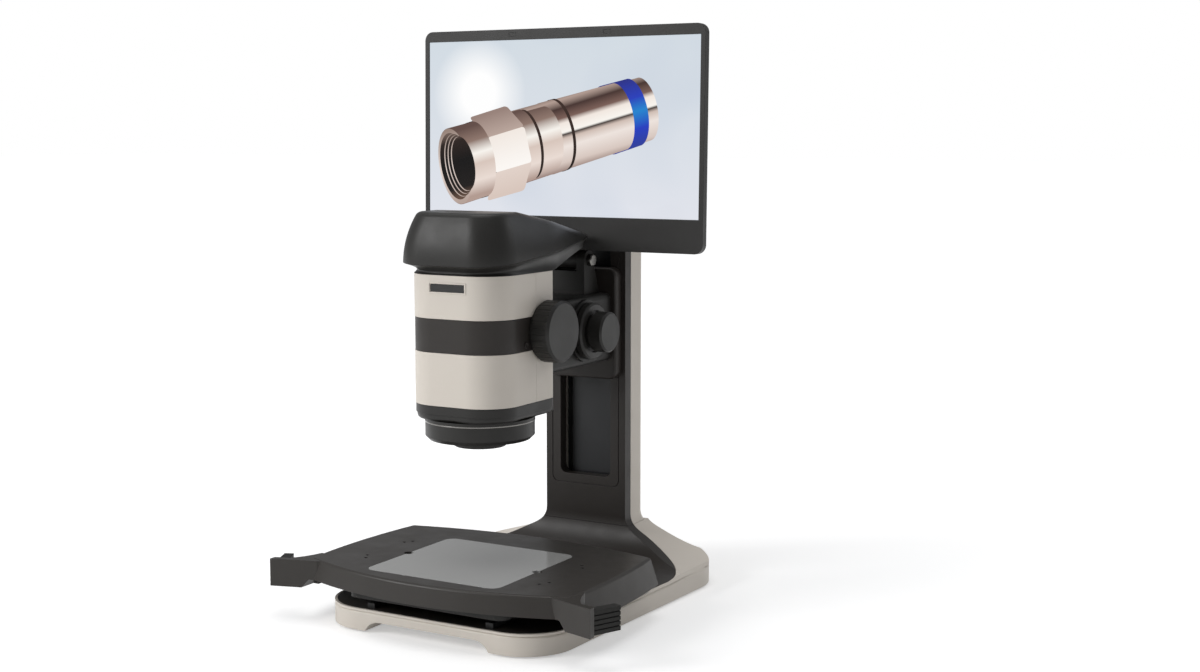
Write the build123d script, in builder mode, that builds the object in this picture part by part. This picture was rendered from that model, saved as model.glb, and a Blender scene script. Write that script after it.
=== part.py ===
from build123d import *
from math import cos, radians, sin, tan
import os

os.makedirs("parts", exist_ok=True)

# Digital stereo microscope: base and column, floating stage, head on a focus slide, tilting screen.
# Millimetres. X runs to the right, Y to the back, Z up from the floor.
# Depths below are measured from the lens axis, heights from the floor.

# Clearances and walls
seam = 0.3  # line between two shells that are fixed together
running_gap = 0.3  # air between parts that move past each other
shaft_clearance = 0.05  # radial clearance of a shaft in its bearing
shell_wall = 3.5

# Base
base_front = -102
base_back = 290
base_front_half_width = 138
base_back_half_width = 152
base_front_corner = 52
base_back_corner = 70
base_edge_radius = 3
foot_height = 2
foot_radius = 9
foot_inset_x = 108
foot_front_y = -68
foot_back_y = 232
base_wall_top = 22
arch_half_width = 57
arch_end_half_width = 76
arch_height = 10.7
arch_back = 150

# Cover on the base, and the flared foot of the column
deck_height = 24.5
cover_inset = 3
cover_back = 230
cover_back_corner = 86
flare_reach = 147
flare_shoulder = 143
flare_top = 74
front_sweep_radius = 45
back_sweep_end = 287
foot_seam_height = 61

# Column
column_front = 217
column_back = 265
column_half_width = 52
column_top = 428
column_back_corner = 14
cap_thickness = 4
recess_half_width = 33
recess_bottom = 115
recess_top = column_top - 16
recess_corner = 8
recess_frame_width = 11
recess_frame_step = 1
channel_half_width = 40
channel_back = 258
spine_front = 246
rail_half_width = 27.5
rail_front = 234
rail_bottom = 104

# Power inlet panel on the back of the column
inlet_panel_half_width = 27
inlet_panel_bottom = 78
inlet_panel_top = 142
inlet_half_width = 14
inlet_half_height = 10.5
inlet_height = 98
rocker_height = 126
rocker_half_width = 10
rocker_half_height = 6.5
rocker_depth = 6
rocker_swing_room = 0.8
rocker_axis_depth = 3.5
rocker_pin_radius = 1.5
rocker_pin_reach = 12

# Floating stage
stage_top = 64.5
stage_front = -117
stage_front_corner_y = -84
stage_half_width = 160
stage_front_half_width = stage_half_width - 3
stage_widest_y = 5
stage_back = 111
stage_back_corner_y = 90
stage_back_half_width = stage_half_width - 8
stage_front_corner = 6
stage_back_corner = 42
stage_skirt_bottom = 35
stage_skirt_draft = 12
stage_edge_radius = 3
stage_plate = 6.5
stage_wall = 4
front_skirt_bottom = 44
front_opening_half_width = stage_half_width - 8
front_opening_foot = stage_half_width
front_opening_back = -78
glass_half_width = 80
glass_front = -95
glass_back = 59
glass_corner = 11
glass_thickness = 5
glass_notch_radius = 5
wing_tip_x = stage_half_width + 33
wing_tip_y = -108
wing_thickness = 8
wing_drop = 0.5
wing_grip_root = 16
wing_grip_rise = 4
grip_reach = stage_half_width + 45
grip_back = -70
grip_bottom = 36
grip_top = 60
grip_groove = 1.4
grip_thickness = 9
stage_screw_radius = 2
stage_screw_length = 4
screw_inner_gap = 26.5  # from the edge of the glass
screw_outer_gap = 32
back_screw_inner_y = 26
back_screw_outer_y = 18
front_screw_inner_y = -57
front_screw_outer_y = -47

# Stage carriage and its guides
carriage_half_width = 95
carriage_front = -105
carriage_back = 85
carriage_front_corner = 12
carriage_back_corner = 40
carriage_bottom = 36.5
carriage_plate = 5.5
guide_width = 9
guide_height = 5.5
guide_block_width = 20
guide_block_length = 30
guide_block_lift = 2  # air between a block and the plate that carries its rail
depth_guide_x = 72
depth_guide_front = -95
depth_guide_back = 145
depth_block_front_y = -50
depth_block_back_y = 55
cross_guide_y = 58
cross_guide_half_length = 90
cross_block_x = 25

# Head
head_half_width = 58.5
head_front = -57.5
head_back = 52
head_corner = 38
head_back_edge = 4.5
head_bottom = 216
trim_top = 232
trim_step_height = 223
trim_edge_radius = 4.5
band_bottom = 286.5
band_top = 320.5
head_top = 365
side_seam_y = 16
side_seam_depth = 0.6
slot_half_width = 20.5
slot_bottom = 348
slot_top = 356
head_plate = 6

# Hood over the head, and the flange that its rim stands on
hood_rim_front_height = 374.5
hood_rim_back_height = 394.5
hood_half_width = 65
hood_front = -66
hood_corner = 36
hood_tail_half_width = 46
hood_bulge_height = 402
hood_bulge_inset = 3.5
hood_top = 427
hood_top_inset = 13
hood_edge_radius = 8
hood_slope_start = -4
hood_tail_y = 150
hood_tail_corner = 8
hood_tail_top = 397
hood_tail_bottom = 384
hood_side_turn = 150
flange_lip = 4.5
flange_cove_start = 0.8

# Objective
collar_radius = 57
collar_bottom = 213
silver_ring_thickness = 1.4
objective_radius = 56.6
objective_bottom = 193
objective_chamfer = 4
nose_radius = 27.6
nose_bottom = 185
front_lens_radius = 22
light_ring_outer = 49
light_ring_inner = 34
barrel_radius = 27
camera_offset = 18

# Zoom knobs
zoom_axis_y = 33
zoom_axis_z = 303.8
zoom_knob_radius = 32
zoom_knob_outer = 81.6
zoom_knob_chamfer = 2.5
zoom_boss_radius = 30
zoom_boss_length = 3
zoom_shaft_radius = 4
zoom_flute_count = 30
zoom_flute_radius = 1.6
zoom_flute_depth = 0.4

# Focus slide, arm and knobs
housing_front = 204
housing_half_width = 47
housing_bottom = 230
housing_top = 356
housing_corner = 10
housing_edge_radius = 3
arm_half_width = 40
arm_bottom = 252
arm_top = 328
arm_edge_radius = 6
focus_axis_y = 146
focus_axis_z = 291.5
focus_boss_radius = 34
focus_boss_reach = 44
coarse_knob_radius = 31
coarse_knob_outer = 54
coarse_knob_inner = 46
coarse_neck_radius = 23
fine_knob_radius = 22
fine_knob_outer = 73
fine_knob_inner = 57
coarse_shaft_radius = 9
fine_shaft_radius = 4

# Screen
screen_front = 156.5
screen_bottom = 378.5
screen_height = 241
screen_width = 355
screen_corner = 10
screen_lean = 1
bezel_side = 5.4
bezel_top = 11.4
panel_above_bottom = 36
panel_width = screen_width - 2 * bezel_side
panel_height = screen_height - panel_above_bottom - bezel_top
bezel_depth = 6
bezel_lip = 1
screen_edge_depth = 11
screen_back_depth = 24
screen_bulge_width = 230
screen_bulge_height = 150
tracking_eye_x = 60
tracking_eye_half = 2.2
hinge_y = 181
hinge_z = 366
hinge_pin_radius = 6.8
hinge_pin_reach = 32
hinge_ear_radius = 11
hinge_ear_inner = 16
hinge_ear_outer = 26
tilt_plate_half_width = 40
tilt_plate_top = 520
tilt_plate_thickness = 4

# The origin is under the middle of the whole footprint, so the lens axis lies in front of it
skirt_flare = (stage_top - stage_skirt_bottom) * tan(radians(stage_skirt_draft))
stage_reach = stage_front - (stage_top - front_skirt_bottom) * tan(radians(stage_skirt_draft))
lens_axis_y = -(base_back + stage_reach) / 2


def level(height):
    """Horizontal plane at a height, centred on the lens axis."""
    return Plane(origin=(0, lens_axis_y, height))


def facing(depth):
    """Upright plane that looks to the front, at a depth behind the lens axis."""
    return Plane(origin=(0, lens_axis_y + depth, 0), x_dir=(1, 0, 0), z_dir=(0, -1, 0))


def side(reach):
    """Upright plane that looks to the right: local X runs to the back and local Y is height."""
    return Plane(origin=(reach, lens_axis_y, 0), x_dir=(0, 1, 0), z_dir=(1, 0, 0))


def write(piece, name):
    """Label a finished piece and save it."""
    piece.part.label = name
    export_step(piece.part, f"parts/{name}.step")


def base_outline(inset, back, back_corner):
    """Plan of the base, widening to the back, pulled in by an inset."""
    front = base_front + inset
    slope = (base_back_half_width - base_front_half_width) / (base_back - base_front)
    front_half = base_front_half_width - inset
    back_half = front_half + slope * (back - front)
    with BuildSketch() as outline:
        with BuildLine():
            Polyline(
                (-front_half, front),
                (front_half, front),
                (back_half, back),
                (-back_half, back),
                close=True,
            )
        make_face()
        fillet(outline.vertices().group_by(Axis.Y)[0], base_front_corner - inset)
        fillet(outline.vertices().group_by(Axis.Y)[-1], back_corner)
    return outline.sketch


def head_outline(grow):
    """Plan of the head: round at the front corners, nearly square at the back."""
    with BuildSketch() as outline:
        with Locations((0, (head_front + head_back) / 2)):
            Rectangle(2 * (head_half_width + grow), head_back - head_front + 2 * grow)
        fillet(outline.vertices().group_by(Axis.Y)[0], head_corner + grow)
        fillet(outline.vertices().group_by(Axis.Y)[-1], head_back_edge + grow)
    return outline.sketch


def stage_outline(grow):
    """Plan of the stage: four bowed sides with large back corners."""
    front_corner = (stage_front_half_width + grow, stage_front_corner_y - grow)
    back_corner = (stage_back_half_width + grow, stage_back_corner_y + grow)
    with BuildSketch() as outline:
        with BuildLine():
            side_bow = ThreePointArc(front_corner, (stage_half_width + grow, stage_widest_y), back_corner)
            mirror(side_bow, about=Plane.YZ)
            ThreePointArc(
                (-front_corner[0], front_corner[1]), (0, stage_front - grow), front_corner
            )
            ThreePointArc((-back_corner[0], back_corner[1]), (0, stage_back + grow), back_corner)
        make_face()
        corners = outline.vertices().sort_by(Axis.Y)
        fillet(corners[:2], stage_front_corner + grow)
        fillet(corners[2:], stage_back_corner + grow)
    return outline.sketch


base_plan = base_outline(0, base_back, base_back_corner)
cover_plan = base_outline(cover_inset, cover_back, cover_back_corner)
cover_plan_outside = base_outline(cover_inset - seam, cover_back + seam, cover_back_corner)
head_plan = head_outline(0)


# Column with its flared foot, as one form that the covers are divided from
with BuildPart() as column_form:
    with BuildSketch(facing(base_front)):
        with BuildLine():
            right = Spline(
                (column_half_width, flare_top),
                (70, 51),
                (100, 36.5),
                (flare_shoulder, deck_height + 0.5),
                tangents=[(0, -1), (1, -0.18)],
            )
            Line((flare_shoulder, deck_height + 0.5), (flare_reach, base_wall_top))
            Line((flare_reach, base_wall_top), (0, base_wall_top))
            Line((0, base_wall_top), (0, column_top))
            Line((0, column_top), (column_half_width, column_top))
            Line((column_half_width, column_top), (column_half_width, flare_top))
        make_face()
        mirror(about=Plane.YZ)
    extrude(amount=base_front - base_back)
    with BuildSketch(side(-base_back_half_width)):
        with BuildLine():
            Line((base_front, base_wall_top), (base_front, deck_height))
            Line((base_front, deck_height), (column_front - front_sweep_radius, deck_height))
            RadiusArc(
                (column_front - front_sweep_radius, deck_height),
                (column_front, deck_height + front_sweep_radius),
                -front_sweep_radius,
            )
            Line((column_front, deck_height + front_sweep_radius), (column_front, column_top))
            Line((column_front, column_top), (column_back, column_top))
            Line((column_back, column_top), (column_back, flare_top))
            Spline(
                (column_back, flare_top),
                (back_sweep_end, base_wall_top),
                tangents=[(0, -1), (1, -0.7)],
            )
            Line((back_sweep_end, base_wall_top), (base_front, base_wall_top))
        make_face()
    extrude(amount=2 * base_back_half_width, mode=Mode.INTERSECT)


# Base shell: low tray on two front legs, with the back half of the flared foot
with BuildPart() as base_shell:
    with BuildSketch(level(foot_height)):
        add(base_plan)
    extrude(amount=base_wall_top - foot_height)
    fillet(base_shell.edges().group_by(Axis.Z)[-1], base_edge_radius)
    with BuildSketch(facing(base_front)):
        with BuildLine():
            Line((0, 0), (arch_end_half_width, 0))
            Spline(
                (arch_end_half_width, 0),
                (arch_half_width, foot_height + arch_height),
                tangents=[(-0.5, 1), (-1, 0)],
            )
            Line((arch_half_width, foot_height + arch_height), (0, foot_height + arch_height))
            Line((0, foot_height + arch_height), (0, 0))
        make_face()
        mirror(about=Plane.YZ)
    extrude(amount=base_front - arch_back, mode=Mode.SUBTRACT)

with BuildPart() as foot_back:
    add(column_form.part)
    with BuildSketch(level(base_wall_top)):
        add(base_plan)
        add(cover_plan_outside, mode=Mode.SUBTRACT)
    extrude(amount=foot_seam_height - seam - base_wall_top, mode=Mode.INTERSECT)

with BuildPart() as base_shell_whole:
    add(base_shell.part)
    add(foot_back.part)
write(base_shell_whole, "base_shell")

with BuildPart() as rubber_feet:
    feet = [
        (x, y) for x in (-foot_inset_x, foot_inset_x) for y in (foot_front_y, foot_back_y)
    ]
    with BuildSketch(level(0)):
        with Locations(*feet):
            Circle(foot_radius)
    extrude(amount=foot_height)
    chamfer(rubber_feet.edges().group_by(Axis.Z)[0], 0.6)
write(rubber_feet, "rubber_feet")

# Dark cover: the deck under the stage, rising into the front of the foot
with BuildPart() as base_cover:
    add(column_form.part)
    with BuildSketch(level(base_wall_top)):
        add(cover_plan)
    extrude(amount=foot_seam_height - seam - base_wall_top, mode=Mode.INTERSECT)
write(base_cover, "base_cover")

# Front cover of the column, with the window that the focus slide runs in
with BuildPart() as column_cover:
    add(column_form.part)
    with BuildSketch(level(foot_seam_height)):
        add(cover_plan)
    extrude(amount=column_top - cap_thickness - foot_seam_height, mode=Mode.INTERSECT)
    with BuildSketch(facing(column_front)):
        with Locations((0, (recess_bottom + recess_top) / 2)):
            RectangleRounded(
                2 * (recess_half_width + recess_frame_width),
                recess_top - recess_bottom + 2 * recess_frame_width,
                recess_corner,
            )
            RectangleRounded(
                2 * (recess_half_width + recess_frame_width) - 2,
                recess_top - recess_bottom + 2 * recess_frame_width - 2,
                recess_corner - 1,
                mode=Mode.SUBTRACT,
            )
    extrude(amount=-recess_frame_step, mode=Mode.SUBTRACT)
    with BuildSketch(facing(column_front)):
        with Locations((0, (recess_bottom + recess_top) / 2)):
            RectangleRounded(2 * recess_half_width, recess_top - recess_bottom, recess_corner)
    extrude(amount=column_front - cover_back - 1, mode=Mode.SUBTRACT)
write(column_cover, "column_cover")

# Back shell of the column, a channel that holds the spine
with BuildPart() as column_shell:
    add(column_form.part)
    with BuildSketch(level(foot_seam_height)):
        add(base_plan)
        add(cover_plan_outside, mode=Mode.SUBTRACT)
    extrude(amount=column_top - cap_thickness - foot_seam_height, mode=Mode.INTERSECT)
    with BuildSketch(level(foot_seam_height)):
        with Locations((0, (cover_back + channel_back) / 2)):
            Rectangle(2 * channel_half_width, channel_back - cover_back)
    extrude(amount=column_top - foot_seam_height, mode=Mode.SUBTRACT)
    back_corners = column_shell.edges().filter_by(Axis.Z).group_by(Axis.Y)[-1]
    fillet(back_corners, column_back_corner)
    with BuildSketch(facing(column_back)):
        with Locations((0, (inlet_panel_bottom + inlet_panel_top) / 2)):
            Rectangle(2 * inlet_panel_half_width, inlet_panel_top - inlet_panel_bottom)
    extrude(amount=column_back - channel_back, both=True, mode=Mode.SUBTRACT)
write(column_shell, "column_shell")

with BuildPart() as column_cap:
    with BuildSketch(level(column_top - cap_thickness)):
        with Locations((0, (column_front + column_back) / 2)):
            Rectangle(2 * column_half_width, column_back - column_front)
    extrude(amount=cap_thickness)
    fillet(column_cap.edges().filter_by(Axis.Z).group_by(Axis.Y)[-1], column_back_corner)
    fillet(column_cap.edges().group_by(Axis.Z)[-1], 2)
write(column_cap, "column_cap")

with BuildPart() as column_spine:
    with BuildSketch(level(foot_seam_height)):
        with Locations((0, (spine_front + channel_back) / 2)):
            Rectangle(2 * channel_half_width, channel_back - spine_front)
    extrude(amount=column_top - cap_thickness - foot_seam_height)
write(column_spine, "column_spine")

# Focus rail: wide guide bar on the spine, seen at the bottom of the window
with BuildPart() as focus_rail:
    with BuildSketch(level(rail_bottom)):
        with Locations((0, (rail_front + spine_front) / 2)):
            Rectangle(2 * rail_half_width, spine_front - rail_front)
    extrude(amount=column_top - cap_thickness - rail_bottom)
    chamfer(focus_rail.edges().filter_by(Axis.Z).group_by(Axis.Y)[0], 1)
write(focus_rail, "focus_rail")

# Power inlet panel
panel_middle = (inlet_panel_bottom + inlet_panel_top) / 2
with BuildPart() as inlet_panel:
    with BuildSketch(facing(channel_back)):
        with Locations((0, panel_middle)):
            Rectangle(
                2 * (inlet_panel_half_width - seam),
                inlet_panel_top - inlet_panel_bottom - 2 * seam,
            )
    extrude(amount=channel_back - column_back + 1)
    with BuildSketch(facing(column_back - 1)):
        with Locations((0, inlet_height)):
            Rectangle(2 * inlet_half_width, 2 * inlet_half_height)
        with Locations((0, rocker_height)):
            Rectangle(2 * (rocker_half_width + running_gap), 2 * (rocker_half_height + rocker_swing_room))
    extrude(amount=column_back - 1 - channel_back, mode=Mode.SUBTRACT)
    with BuildSketch(side(-rocker_pin_reach - running_gap)):
        with Locations((column_back - rocker_axis_depth, rocker_height)):
            Circle(rocker_pin_radius + shaft_clearance)
    extrude(amount=2 * (rocker_pin_reach + running_gap), mode=Mode.SUBTRACT)
write(inlet_panel, "inlet_panel")

with BuildPart() as power_inlet:
    with BuildSketch(facing(channel_back)):
        with Locations((0, inlet_height)):
            Rectangle(2 * inlet_half_width, 2 * inlet_half_height)
    extrude(amount=channel_back - column_back)
    with BuildSketch(facing(column_back)):
        with Locations((0, inlet_height)):
            RectangleRounded(2 * inlet_half_width - 4, 2 * inlet_half_height - 4, 3)
    extrude(amount=5, mode=Mode.SUBTRACT)
    with BuildSketch(facing(column_back - 5)):
        with Locations((-6, inlet_height - 2), (0, inlet_height + 2), (6, inlet_height - 2)):
            Rectangle(1.6, 4)
    extrude(amount=-4)
write(power_inlet, "power_inlet")

# Rocker of the power switch, turning about a pin along X
with BuildPart() as power_rocker:
    with BuildSketch(side(-rocker_half_width)):
        with BuildLine():
            Polyline(
                (column_back - rocker_depth, rocker_height - rocker_half_height + 2),
                (column_back + 0.5, rocker_height - rocker_half_height + 0.5),
                (column_back + 2.5, rocker_height - rocker_half_height + 0.9),
                (column_back + 0.5, rocker_height),
                (column_back + 1.5, rocker_height + rocker_half_height - 0.6),
                (column_back - 0.5, rocker_height + rocker_half_height - 0.5),
                (column_back - rocker_depth, rocker_height + rocker_half_height - 2),
                close=True,
            )
        make_face()
    extrude(amount=2 * rocker_half_width)
    with BuildSketch(side(-rocker_pin_reach)):
        with Locations((column_back - rocker_axis_depth, rocker_height)):
            Circle(rocker_pin_radius)
    extrude(amount=2 * rocker_pin_reach)
write(power_rocker, "power_rocker")


# Guides of the stage: two rails in depth on the deck, two across on the carriage
carriage_top = carriage_bottom + carriage_plate
depth_guide_middle = (depth_guide_front + depth_guide_back) / 2
depth_guide_points = [(-depth_guide_x, depth_guide_middle), (depth_guide_x, depth_guide_middle)]
cross_guide_points = [(0, -cross_guide_y), (0, cross_guide_y)]
with BuildPart() as depth_guides:
    with BuildSketch(level(deck_height)):
        with Locations(*depth_guide_points):
            Rectangle(guide_width, depth_guide_back - depth_guide_front)
    extrude(amount=guide_height)
write(depth_guides, "depth_guides")

with BuildPart() as depth_blocks:
    with BuildSketch(level(deck_height + guide_block_lift)):
        for x in (-depth_guide_x, depth_guide_x):
            with Locations((x, depth_block_front_y), (x, depth_block_back_y)):
                Rectangle(guide_block_width, guide_block_length)
    extrude(amount=carriage_bottom - deck_height - guide_block_lift)
    with BuildSketch(level(deck_height)):
        with Locations(*depth_guide_points):
            Rectangle(guide_width + 2 * running_gap, depth_guide_back - depth_guide_front)
    extrude(amount=guide_height + running_gap, mode=Mode.SUBTRACT)
write(depth_blocks, "depth_blocks")

with BuildSketch() as carriage_plan:
    with Locations((0, (carriage_front + carriage_back) / 2)):
        Rectangle(2 * carriage_half_width, carriage_back - carriage_front)
    carriage_corners = carriage_plan.vertices().sort_by(Axis.Y)
    fillet(carriage_corners[:2], carriage_front_corner)
    fillet(carriage_corners[2:], carriage_back_corner)
with BuildPart() as stage_carriage:
    with BuildSketch(level(carriage_bottom)):
        add(carriage_plan.sketch)
    extrude(amount=carriage_plate)
write(stage_carriage, "stage_carriage")

with BuildPart() as cross_guides:
    with BuildSketch(level(carriage_top)):
        with Locations(*cross_guide_points):
            Rectangle(2 * cross_guide_half_length, guide_width)
    extrude(amount=guide_height)
write(cross_guides, "cross_guides")

with BuildPart() as cross_blocks:
    with BuildSketch(level(carriage_top + guide_block_lift)):
        for y in (-cross_guide_y, cross_guide_y):
            with Locations((-cross_block_x, y), (cross_block_x, y)):
                Rectangle(guide_block_length, guide_block_width)
    extrude(amount=stage_top - stage_plate - carriage_top - guide_block_lift)
    with BuildSketch(level(carriage_top)):
        with Locations(*cross_guide_points):
            Rectangle(2 * cross_guide_half_length, guide_width + 2 * running_gap)
    extrude(amount=guide_height + running_gap, mode=Mode.SUBTRACT)
write(cross_blocks, "cross_blocks")

# Stage top: drafted skirt all round, lower edge raised at the front, open underneath
screw_inner_x = glass_half_width + screw_inner_gap
screw_outer_x = glass_half_width + screw_outer_gap
right_screw_points = [
    (screw_inner_x, back_screw_inner_y),
    (screw_outer_x, back_screw_outer_y),
    (screw_inner_x, front_screw_inner_y),
    (screw_outer_x, front_screw_outer_y),
]
screw_points = [(hand * x, y) for hand in (-1, 1) for x, y in right_screw_points]
stage_foot_plan = stage_outline(skirt_flare)
stage_top_plan = stage_outline(0)
stage_hollow_plan = stage_outline(-stage_wall)


def stage_wing(hand):
    """Plan of the wing plate beside a front corner of the stage; hand is 1 at the right."""
    tip_back = wing_tip_y + wing_thickness
    with BuildSketch() as outline:
        with BuildLine():
            Polyline(
                (hand * (stage_half_width - 2), stage_front_corner_y + 22),
                (hand * (stage_front_half_width - 20), stage_front_corner_y - 4),
                (hand * (stage_front_half_width - 14), stage_front_corner_y - 9),
                (hand * wing_tip_x, wing_tip_y),
                (hand * wing_tip_x, tip_back),
                (hand * (wing_tip_x - wing_grip_root), tip_back + wing_grip_rise),
            )
            ThreePointArc(
                (hand * (wing_tip_x - wing_grip_root), tip_back + wing_grip_rise),
                (hand * (stage_half_width + 8), stage_front_corner_y + 2),
                (hand * (stage_half_width + 1), stage_front_corner_y + 22),
            )
            Line(
                (hand * (stage_half_width + 1), stage_front_corner_y + 22),
                (hand * (stage_half_width - 2), stage_front_corner_y + 22),
            )
        make_face()
    return outline.sketch


wing_plans = [stage_wing(hand) for hand in (-1, 1)]
opening_front = stage_front - skirt_flare - 2
with BuildPart() as stage_body:
    with BuildSketch(level(stage_skirt_bottom)):
        add(stage_foot_plan)
    with BuildSketch(level(stage_top)):
        add(stage_top_plan)
    loft()
    fillet(stage_body.edges().group_by(Axis.Z)[-1], stage_edge_radius)
    for wing_plan in wing_plans:
        with BuildSketch(level(stage_skirt_bottom)):
            add(wing_plan)
        extrude(amount=stage_top - wing_drop - stage_skirt_bottom)
    with BuildSketch(level(stage_skirt_bottom)):
        add(stage_hollow_plan)
    extrude(amount=stage_top - stage_plate - stage_skirt_bottom, mode=Mode.SUBTRACT)
    with BuildSketch(facing(opening_front)):
        with BuildLine():
            Polyline(
                (-front_opening_foot, stage_skirt_bottom),
                (-front_opening_half_width, front_skirt_bottom),
                (front_opening_half_width, front_skirt_bottom),
                (front_opening_foot, stage_skirt_bottom),
                (front_opening_foot, 0),
                (-front_opening_foot, 0),
                close=True,
            )
        make_face()
    extrude(amount=opening_front - front_opening_back, mode=Mode.SUBTRACT)
    glass_middle = (glass_front + glass_back) / 2
    with BuildSketch(level(stage_top)):
        with Locations((0, glass_middle)):
            RectangleRounded(
                2 * (glass_half_width + seam), glass_back - glass_front + 2 * seam, glass_corner
            )
        with Locations((-glass_half_width, glass_middle), (glass_half_width, glass_middle)):
            Circle(glass_notch_radius)
    extrude(amount=-glass_thickness, mode=Mode.SUBTRACT)
    with BuildSketch(level(stage_top)):
        with Locations(*screw_points):
            Circle(stage_screw_radius + shaft_clearance)
    extrude(amount=-stage_screw_length, mode=Mode.SUBTRACT)
write(stage_body, "stage_body")

with BuildPart() as stage_glass:
    with BuildSketch(level(stage_top - glass_thickness)):
        with Locations((0, glass_middle)):
            RectangleRounded(2 * glass_half_width, glass_back - glass_front, glass_corner)
        with Locations((-glass_half_width, glass_middle), (glass_half_width, glass_middle)):
            Circle(glass_notch_radius + seam, mode=Mode.SUBTRACT)
    extrude(amount=glass_thickness)
write(stage_glass, "stage_glass")

with BuildPart() as stage_screws:
    with BuildSketch(level(stage_top - stage_screw_length)):
        with Locations(*screw_points):
            Circle(stage_screw_radius)
    extrude(amount=stage_screw_length - seam)
    with BuildSketch(level(stage_top - seam)):
        with Locations(*screw_points):
            RegularPolygon(stage_screw_radius * 0.6, 6)
    extrude(amount=-stage_screw_radius, mode=Mode.SUBTRACT)
write(stage_screws, "stage_screws")

# Ribbed rubber grips behind the wing plates
for hand, name in ((-1, "left_grip"), (1, "right_grip")):
    root = Vector(hand * wing_tip_x, wing_tip_y + wing_thickness)
    along = Vector(-hand * wing_grip_root, wing_grip_rise)
    outer_foot = root + along * 0.08
    inner_foot = root + along * 0.8
    outer_end = Vector(hand * grip_reach, grip_back)
    inner_end = Vector(hand * (grip_reach - grip_thickness), grip_back + wing_grip_rise)
    with BuildPart() as grip:
        with BuildSketch(level(grip_bottom)):
            with BuildLine():
                Polyline(
                    (outer_foot.X, outer_foot.Y),
                    (outer_end.X, outer_end.Y),
                    (inner_end.X, inner_end.Y),
                    (inner_foot.X, inner_foot.Y),
                    close=True,
                )
            make_face()
        extrude(amount=grip_top - grip_bottom)
        rib_count = 4
        for rib in range(rib_count):
            groove_z = grip_bottom + (rib + 1) * (grip_top - grip_bottom) / (rib_count + 1)
            with BuildSketch(level(groove_z - grip_groove / 2)):
                with BuildLine():
                    Line((outer_foot.X, outer_foot.Y), (outer_end.X, outer_end.Y))
                trace(line_width=2 * grip_groove)
            extrude(amount=grip_groove, mode=Mode.SUBTRACT)
    write(grip, name)


def head_ring(bottom, top, grow, wall):
    """Moulded ring of the head between two heights."""
    outer = head_outline(grow)
    inner = head_outline(-wall)
    with BuildPart() as ring:
        with BuildSketch(level(bottom)):
            add(outer)
            add(inner, mode=Mode.SUBTRACT)
        extrude(amount=top - bottom)
    return ring.part


# Head shells: two light mouldings with a dark band between them
lower_ring = head_ring(trim_top + seam, band_bottom - seam, 0, shell_wall)
upper_ring = head_ring(band_top + seam, head_top - seam, 0, shell_wall)
band_ring = head_ring(band_bottom, band_top, -0.4, shell_wall)
side_seam_points = [(-head_half_width, side_seam_y), (head_half_width, side_seam_y)]
with BuildPart() as head_shell_lower:
    add(lower_ring)
    with BuildSketch(level(trim_top)):
        with Locations(*side_seam_points):
            Rectangle(2 * side_seam_depth, seam)
    extrude(amount=band_bottom - trim_top, mode=Mode.SUBTRACT)
write(head_shell_lower, "head_shell_lower")

with BuildPart() as head_shell_upper:
    add(upper_ring)
    with BuildSketch(level(band_top)):
        with Locations(*side_seam_points):
            Rectangle(2 * side_seam_depth, seam)
    extrude(amount=head_top - band_top, mode=Mode.SUBTRACT)
    with BuildSketch(facing(head_front - 1)):
        with Locations((0, (slot_bottom + slot_top) / 2)):
            Rectangle(2 * slot_half_width, slot_top - slot_bottom)
    extrude(amount=-shell_wall - 2, mode=Mode.SUBTRACT)
write(head_shell_upper, "head_shell_upper")

with BuildPart() as head_band:
    add(band_ring)
    with BuildSketch(side(-head_half_width - 1)):
        with Locations((zoom_axis_y, zoom_axis_z)):
            Circle(zoom_shaft_radius + 1)
    extrude(amount=2 * head_half_width + 2, mode=Mode.SUBTRACT)
write(head_band, "head_band")

# Status window in the front of the upper shell
with BuildPart() as status_window:
    with BuildSketch(facing(head_front + shell_wall)):
        with Locations((0, (slot_bottom + slot_top) / 2)):
            Rectangle(2 * (slot_half_width - seam), slot_top - slot_bottom - 2 * seam)
    extrude(amount=shell_wall - 0.5)
write(status_window, "status_window")

# Lower trim and base plate of the head
trim_upper_plan = head_outline(-0.4)
trim_lower_plan = head_outline(-1.6)
with BuildPart() as head_trim:
    with BuildSketch(level(head_bottom)):
        add(trim_lower_plan)
    extrude(amount=trim_top - head_bottom)
    fillet(head_trim.edges().group_by(Axis.Z)[0], trim_edge_radius)
    with BuildSketch(level(trim_step_height)):
        add(trim_upper_plan)
    extrude(amount=trim_top - trim_step_height)
    with BuildSketch(level(head_bottom)):
        Circle(barrel_radius + running_gap)
    extrude(amount=trim_top - head_bottom, mode=Mode.SUBTRACT)
write(head_trim, "head_trim")

inner_depth = head_back - shell_wall - seam
with BuildPart() as head_frame:
    with BuildSketch(level(trim_top)):
        with Locations((0, inner_depth - head_plate / 2)):
            Rectangle(2 * (head_half_width - shell_wall - 3), head_plate)
    extrude(amount=head_top - trim_top)
write(head_frame, "head_frame")

with BuildPart() as optics_barrel:
    with BuildSketch(level(head_bottom - 3)):
        Circle(barrel_radius)
    extrude(amount=band_top - head_bottom)
    chamfer(optics_barrel.edges().group_by(Axis.Z)[-1], 3)
write(optics_barrel, "optics_barrel")

barrel_top = band_top - 3
for hand, name in ((-1, "left_camera"), (1, "right_camera")):
    with BuildPart() as camera:
        with BuildSketch(level(barrel_top)):
            with Locations((hand * (camera_offset / 2 + 1), 0)):
                Rectangle(camera_offset, 26)
        extrude(amount=24)
    write(camera, name)

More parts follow.
